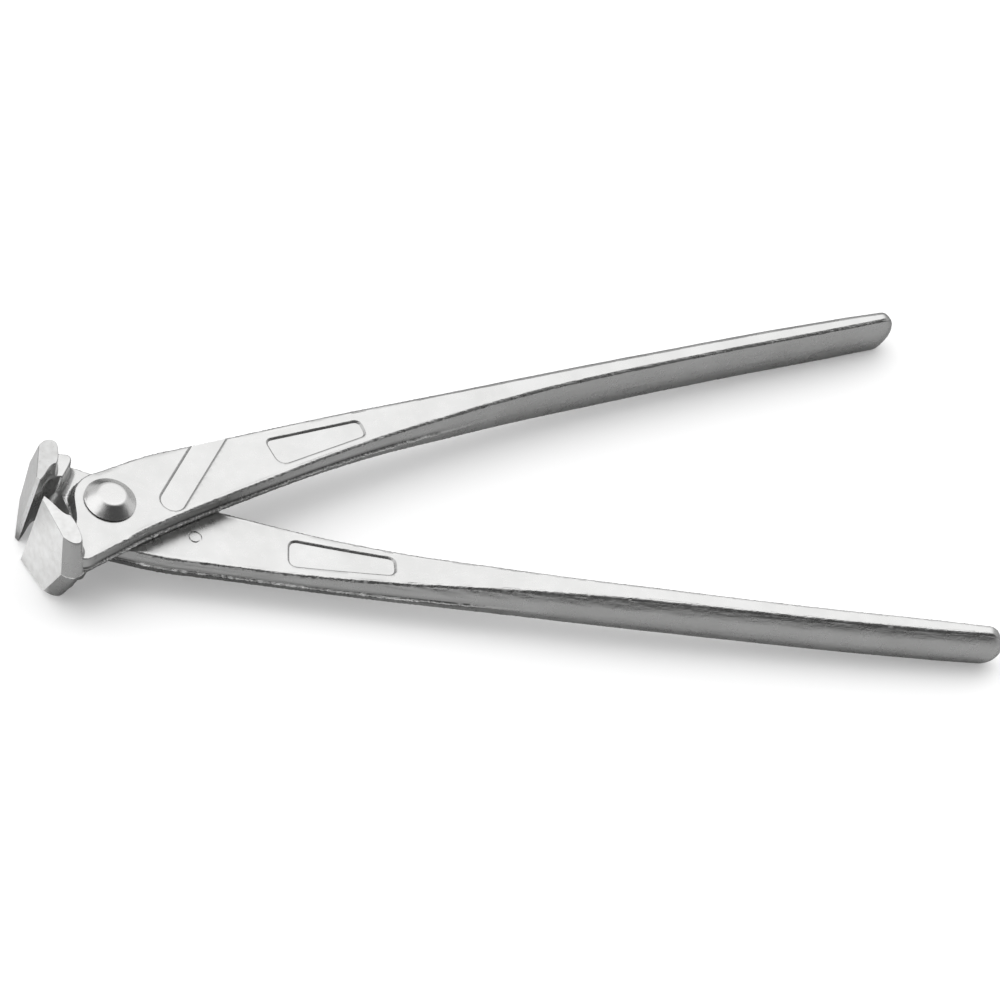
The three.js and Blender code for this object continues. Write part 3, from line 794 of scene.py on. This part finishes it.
# The plated forging's sloping edges get painted shade, their colour times edge
ZINC = steel(
    "forged_zinc", (0.52, 0.52, 0.515), (0.57, 0.57, 0.567), (0.24, 0.34),
    [(1400.0, (0.3, 1, 1), 0.01, 0.8, 0.0003), (3000.0, (0.5, 1, 1), 0.015, 0.8, 0.00015)],
    edge=0.65,
)
GROUND = steel(
    "ground_steel", (0.535, 0.533, 0.528), (0.63, 0.632, 0.63), (0.27, 0.41),
    [(1500.0, ROUND, 0.05, 0.6, 0.0002), (4000.0, ROUND, 0.05, 0.6, 0.0001)],
    blotch=500.0,
)
RIVET = steel(
    "rivet_steel", (0.52, 0.518, 0.513), (0.57, 0.568, 0.565), (0.22, 0.3),
    [(900.0, ROUND, 0.1, 0.12, 0.0002), (2600.0, ROUND, 0.08, 0.1, 0.0001)],
)

SHARP_ANGLE = math.radians(22)
# Height on the arm's side, as a share, and the tone of the steel there: 1 on the trimmed flash,
# partly its own lighter sheared steel and partly a painted highlight, and down to -1 in the scale
# beside it, a painted shade
SEAM_TONE_GLINT_AND_SHADE_STOPS = ((-0.3, 0), (-0.13, -0.7), (-0.07, 1), (0.07, 1), (0.15, -1), (0.42, 0))
SEAM_FADE = (0.3, 0.5)  # shares of the reach over which the seam fades
SEAM_START = (-11, -7)  # places in front of the pivot over which it starts
# Ground faces: how far back they reach, how high the ends start, and how nearly a face there has
# to point the way of the front face, of the bevel or of an end
GROUND_BACK, END_HEIGHT = 2.5 - JAW_BACK, 10
LIKE_FACE, LIKE_BEVEL, LIKE_END = 0.995, 0.99, 0.9


def mark_seam_tone_glint_and_shade(mesh):
    """Stores the seam's tone on the points of a closed half: a painted highlight on the trimmed
    flash, which is partly its own lighter tone, and painted shade in the scale beside it.
    """
    places = np.empty(len(mesh.vertices) * 3)
    mesh.vertices.foreach_get("co", places)
    x, y, z = places.reshape(-1, 3).T
    along = np.clip(x / math.cos(LEAN), 0, HANDLE_REACH)
    bottom = underside(along)
    height = (z - (HALF_HEIGHT + bottom) / 2) / ((HALF_HEIGHT - bottom) / 2)
    tone = np.interp(height, *zip(*SEAM_TONE_GLINT_AND_SHADE_STOPS))
    tone *= (1 - smooth(along / HANDLE_REACH, *SEAM_FADE)) * smooth(x, *SEAM_START)
    mesh.attributes.new("seam_tone_glint_and_shade", "FLOAT", "POINT").data.foreach_set("value", tone)


def half_mesh():
    """One half, closed: arm, neck and jaw joined, with the bore, the fields and the ring cut."""
    piece = skin("half", roughen(*arm_rings()))
    piece = combine(piece, [neck_piece(), jaw_piece()], "UNION")
    cutters = [round_plug(BORE, -BORE_OVER, BORE_OVER)] + field_cutters() + [ring_cutter()]
    piece = combine(piece, cutters, "DIFFERENCE")
    mark_seam_tone_glint_and_shade(piece.data)
    return piece


def rivet_mesh():
    """The rivet: its outline turned about the pivot, with faint dents in both heads."""
    base = HALF_HEIGHT + RIVET_GAP
    top = base + RIVET_HEAD_HEIGHT
    foot = np.array((RIVET_HEAD_RADIUS, base + RIVET_RIM))
    rim = np.array((RIVET_FLAT_RADIUS + RIVET_ROUND[0], top))
    start, stop = (lerp(foot, rim, share) for share in RIVET_CONE)
    flat = RIVET_FLAT_RADIUS - RIVET_ROUND[1]
    head = np.vstack([
        [(RIVET_SHANK, base)],
        bezier((RIVET_HEAD_RADIUS - RIVET_RIM, base), (RIVET_HEAD_RADIUS, base), foot, count=5),
        bezier(foot, start, count=2),
        bezier(start, stop, count=14),
        bezier(stop, rim, (flat, top), count=7),
        [(radius, top) for radius in np.linspace(flat, RIVET_POLE, 8)],
    ])
    outline = np.vstack([(head * (1, -1))[::-1], [(RIVET_SHANK, 0)], head])
    count = 120
    rings = [np.column_stack([*circle(radius, count), np.full(count, z)]) for radius, z in outline]
    piece = skin("rivet_skin", rings)
    for v in piece.data.vertices:
        if v.co.xy.length > RIVET_SHANK + DENTS_OUTSIDE and abs(v.co.z) > base + DENTS_ABOVE:
            dent = 1 + noise.noise(v.co * DENT_SCALE + SEED) * RIVET_DENTS / DENT_RADIUS
            v.co.x *= dent
            v.co.y *= dent
    return piece


def dress(piece, materials, pick=lambda poly: 0):
    """Gives a piece its materials, each face the one that pick says, and its sharp edges."""
    mesh = piece.data
    mesh.materials.clear()
    for material in materials:
        mesh.materials.append(material)
    for poly in mesh.polygons:
        poly.material_index = pick(poly)
    mesh.shade_smooth()
    mesh.set_sharp_from_angle(angle=SHARP_ANGLE)


def half_zone(poly):
    """1 for the ground faces of the jaw, 0 elsewhere; read in the closed half's frame."""
    c, n = poly.center, poly.normal
    if c.x > GROUND_BACK:
        return 0
    face = Vector((-math.cos(FACE_LEAN), -math.sin(FACE_LEAN), 0))
    bevel = Vector((BEVEL[1], -BEVEL[0], 0)).normalized()
    on_end = abs(c.z) > END_HEIGHT and abs(n.z) > LIKE_END
    return int(n.dot(face) > LIKE_FACE or n.dot(bevel) > LIKE_BEVEL or on_end)


def place(mesh, name, turned_over):
    """A piece with the mesh, opened and brought into the CAD's frame in metres."""
    matrix = Matrix.Rotation(HALF_OPENING, 4, "Z")
    if turned_over:
        matrix = Matrix.Rotation(math.pi, 4, "X") @ matrix
    mesh.transform(Matrix.Scale(MM, 4) @ Matrix.Translation((0, 0, -RIVET_FACE)) @ matrix)
    return new_object(name, mesh)


half = half_mesh()
dress(half, [ZINC, GROUND], half_zone)
front = place(half.data.copy(), "front_forging", False)
back = place(half.data.copy(), "back_forging", True)
bpy.data.objects.remove(half)
rivet_skin = rivet_mesh()
dress(rivet_skin, [RIVET])
rivet = place(rivet_skin.data.copy(), "rivet_heads", False)
bpy.data.objects.remove(rivet_skin)

for piece, body, node, slot in (
    (front, "front", "front_half", "forged_zinc_steel"),
    (back, "back", "back_half", "forged_zinc_steel"),
    (rivet, "front", "rivet", "rivet_steel"),
):
    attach(piece, body)
    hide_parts(node)

# The floor touches the jaws and the handle ends, so it rises along x. In metres: its height at a
# place under the jaws, and its rise over a run.
FLOOR_HEIGHT, FLOOR_START = -0.02155, -0.017
FLOOR_RISE, FLOOR_RUN = 0.0062, 0.245
PAPER_COLOUR, PAPER_GLOW = 0.75, 0.2
TABLE_DROP = 0.0001  # how far the table lies below the paper, in metres
# The table's greys, painted shade and painted light for the steel to reflect: round the joint,
# at the foot of each arm, further out, behind, and lit
TABLE_JOINT, TABLE_NEAR, TABLE_FAR, TABLE_BACK, TABLE_LIT = 0.15, 0.27, 0.42, 0.47, 1.0
TONE_START = -20  # where along an arm the edge starts from which the greys are measured
JOINT_SHADE, ARM_SHADE = 26.0, 7.0  # how far the darker table reaches out from that edge
ARM_START = (55, 75)  # along x, where the joint's shade goes over into the arms'
BACK_ZONES = ((11, 14), (4, 9)), ((26, 30), (0, 4))  # over -x and y, where it is as behind
LIT_SLANT = 0.5
LIT_ZONE = (20, 23), (-16, -14), (-5, -1)  # over -x - LIT_SLANT y, y and -y, where it is lit
# Lines of the table's grid, close together where its greys change
SPAN = 4000  # half the breadth of both sheets
FAR_LINES = [-SPAN, -400, -120]
LINES_X = np.concatenate([FAR_LINES, np.arange(-60, 20), np.arange(20, 321, 4), [700, SPAN]])
LINES_Y = np.concatenate([FAR_LINES, np.arange(-60, 60), [120, 400, SPAN]])


def floor_height(x):
    """Height of the floor below the tool, in metres."""
    return FLOOR_HEIGHT + (x - FLOOR_START) * FLOOR_RISE / FLOOR_RUN


def sheet(name, lines_x, lines_y, drop):
    """A sheet under the tool over a grid of lines, and the shader of its matt material."""
    corners = [(x * MM, y * MM, floor_height(x * MM) - drop) for y in lines_y for x in lines_x]
    count = len(lines_x)
    cells = [
        (r * count + c, r * count + c + 1, (r + 1) * count + c + 1, (r + 1) * count + c)
        for r in range(len(lines_y) - 1) for c in range(count - 1)
    ]
    mesh = bpy.data.meshes.new(name)
    mesh.from_pydata(corners, [], cells)
    piece = new_object(name, mesh)
    material, bsdf = node_material(name)
    bsdf.inputs["Roughness"].default_value = 1.0
    bsdf.inputs["Specular IOR Level"].default_value = 0.0
    mesh.materials.append(material)
    piece.visible_shadow = False
    piece.visible_diffuse = False
    return piece, bsdf


def table_painted_shade_and_light(x, y):
    """Grey of the table at a place, painted shade and painted light: darkest round the joint and at
    the foot of each arm, a painted shadow of the tool, and painted light to the left of the jaws."""
    along = np.linspace(TONE_START, HANDLE_REACH, 200)
    far_half = turn(np.stack([along, inner_edge(along)], -1), LEAN + HALF_OPENING)
    near_half = turn(np.stack([along, outer_edge(along)], -1), LEAN + HALF_OPENING) * (1, -1)
    ahead_far = np.interp(x, far_half[:, 0], far_half[:, 1]) - y
    ahead_near = np.interp(x, near_half[:, 0], near_half[:, 1]) - y
    ahead = np.where(ahead_near > 0, ahead_near, np.maximum(ahead_far, 0))
    on_arm = smooth(x, *ARM_START)
    reach = lerp(JOINT_SHADE, ARM_SHADE, on_arm)
    painted_grey = lerp(lerp(TABLE_JOINT, TABLE_NEAR, on_arm), TABLE_FAR, smooth(ahead / reach, 0, 1))
    for left, beyond in BACK_ZONES:
        painted_grey = lerp(painted_grey, TABLE_BACK, smooth(-x, *left) * smooth(y, *beyond))
    slanted, beyond, before = LIT_ZONE
    lit = smooth(-(x + LIT_SLANT * y), *slanted) * smooth(y, *beyond) * smooth(-y, *before)
    return lerp(painted_grey, TABLE_LIT, lit)


# The floor is a white paper that is seen and takes the shadow, and a greyer table just below it
# that only shows in the steel: a sheet of painted shade and painted light for the steel to reflect.
paper, bsdf = sheet("paper", (-SPAN, SPAN), (-SPAN, SPAN), 0.0)
bsdf.inputs["Base Color"].default_value = (PAPER_COLOUR, PAPER_COLOUR, PAPER_COLOUR, 1)
bsdf.inputs["Emission Color"].default_value = (1, 1, 1, 1)
bsdf.inputs["Emission Strength"].default_value = PAPER_GLOW
paper.visible_glossy = False

table, bsdf = sheet("table", LINES_X, LINES_Y, TABLE_DROP)
# Each point of the table gets its grey of painted shade and painted light
grid_x, grid_y = np.meshgrid(LINES_X, LINES_Y)
painted_table_greys = table_painted_shade_and_light(grid_x.ravel(), grid_y.ravel())
table.data.attributes.new("painted_grey", "FLOAT", "POINT").data.foreach_set("value", painted_table_greys)
tree = bsdf.id_data
reader = tree.nodes.new("ShaderNodeAttribute")
reader.attribute_name = "painted_grey"
tree.links.new(reader.outputs["Fac"], bsdf.inputs["Base Color"])
table.visible_camera = False

# The light is a white tent that is open and dark in front and a little overhead, and less bright
# on the right and behind. A range is where a light fades, as cosines to a direction.
TENT_LIGHT = 1.64
OPENING = (0.183, -0.683, 0.707)
OPENING_RANGE = math.cos(math.radians(24)), math.cos(math.radians(64))
FRONT, FRONT_RANGE = (0.2, -0.98, 0), (0.15, 0.6)
SHADES = (  # direction, range, and the share of the light that is left there
    (FRONT, FRONT_RANGE, 0.03),
    ((1, 0, 0), (0.4, 0.85), 0.55),
    ((0, 1, 0), (0.5, 0.88), 0.5),
)
OPEN_LIGHT, LOW_LIGHT = 0.1, 0.4  # what the open front still gives, and adds near the ground
UP, LOW_RANGE = (0, 0, 1), (0.12, 0.42)
FLOOR_GAIN = 1.5  # exposure of the paper against the steel, so that the paper comes out white

world = bpy.data.worlds.new("studio")
bpy.context.scene.world = world
world.use_nodes = True
wn, wl = world.node_tree.nodes, world.node_tree.links
coords = wn.new("ShaderNodeTexCoord")


def fading(direction, start, stop, low, high):
    """A value that goes smoothly from low to high as the cosine to a direction goes from start to
    stop."""
    dot = wn.new("ShaderNodeVectorMath")
    dot.operation = "DOT_PRODUCT"
    dot.inputs[1].default_value = Vector(direction).normalized()
    wl.new(coords.outputs["Generated"], dot.inputs[0])
    ramp = wn.new("ShaderNodeMapRange")
    ramp.interpolation_type = "SMOOTHSTEP"
    ramp.inputs["From Min"].default_value = start
    ramp.inputs["From Max"].default_value = stop
    ramp.inputs["To Min"].default_value = low
    ramp.inputs["To Max"].default_value = high
    wl.new(dot.outputs["Value"], ramp.inputs["Value"])
    return ramp.outputs["Result"]


def joined(operation, one, two):
    """A sum or product of two values, each a socket or a number."""
    node = wn.new("ShaderNodeMath")
    node.operation = operation
    for socket, value in zip(node.inputs, (one, two)):
        if isinstance(value, float):
            socket.default_value = value
        else:
            wl.new(value, socket)
    return node.outputs["Value"]


light = fading(OPENING, *OPENING_RANGE, 0.0, TENT_LIGHT)
for direction, cosines, left in SHADES:
    light = joined("MULTIPLY", light, fading(direction, *cosines, 1.0, left))
low_light = fading(UP, *LOW_RANGE, LOW_LIGHT, 0.0)
low_light = joined("MULTIPLY", low_light, fading(FRONT, *FRONT_RANGE, 0.0, 1.0))
light = joined("ADD", joined("ADD", light, low_light), OPEN_LIGHT)
background = wn["Background"]
background.inputs["Color"].default_value = (1, 1, 1, 1)
path = wn.new("ShaderNodeLightPath")
floor_gain = joined("MULTIPLY", path.outputs["Is Diffuse Ray"], FLOOR_GAIN - 1)
floor_gain = joined("ADD", floor_gain, 1.0)
wl.new(joined("MULTIPLY", light, floor_gain), background.inputs["Strength"])

# The camera was fitted to the photograph: its place in metres, the directions of the image's
# right, down and forward, and the focal length in pixels of an image this wide
CAMERA_PLACE = (-0.611776, -1.132592, 1.501326)
IMAGE_RIGHT = Vector((0.93426, -0.24192273, 0.26197641))
IMAGE_DOWN = Vector((-0.03394552, -0.79166646, -0.61000977))
IMAGE_FORWARD = Vector((0.35497317, 0.5610148, -0.7478345))
FOCAL_PIXELS, IMAGE_WIDTH = 7995.35, 1000.0
SENSOR_WIDTH = 36.0

scene = bpy.context.scene
scene.view_settings.view_transform = "Standard"
camera = new_object("camera", bpy.data.cameras.new("camera"))
axes = Matrix((IMAGE_RIGHT, -IMAGE_DOWN, -IMAGE_FORWARD)).transposed().to_4x4()
camera.matrix_world = Matrix.Translation(CAMERA_PLACE) @ axes
camera.data.sensor_width = SENSOR_WIDTH
camera.data.lens = FOCAL_PIXELS * SENSOR_WIDTH / IMAGE_WIDTH
camera.data.clip_start = 0.05
camera.data.clip_end = 20.0
scene.camera = camera
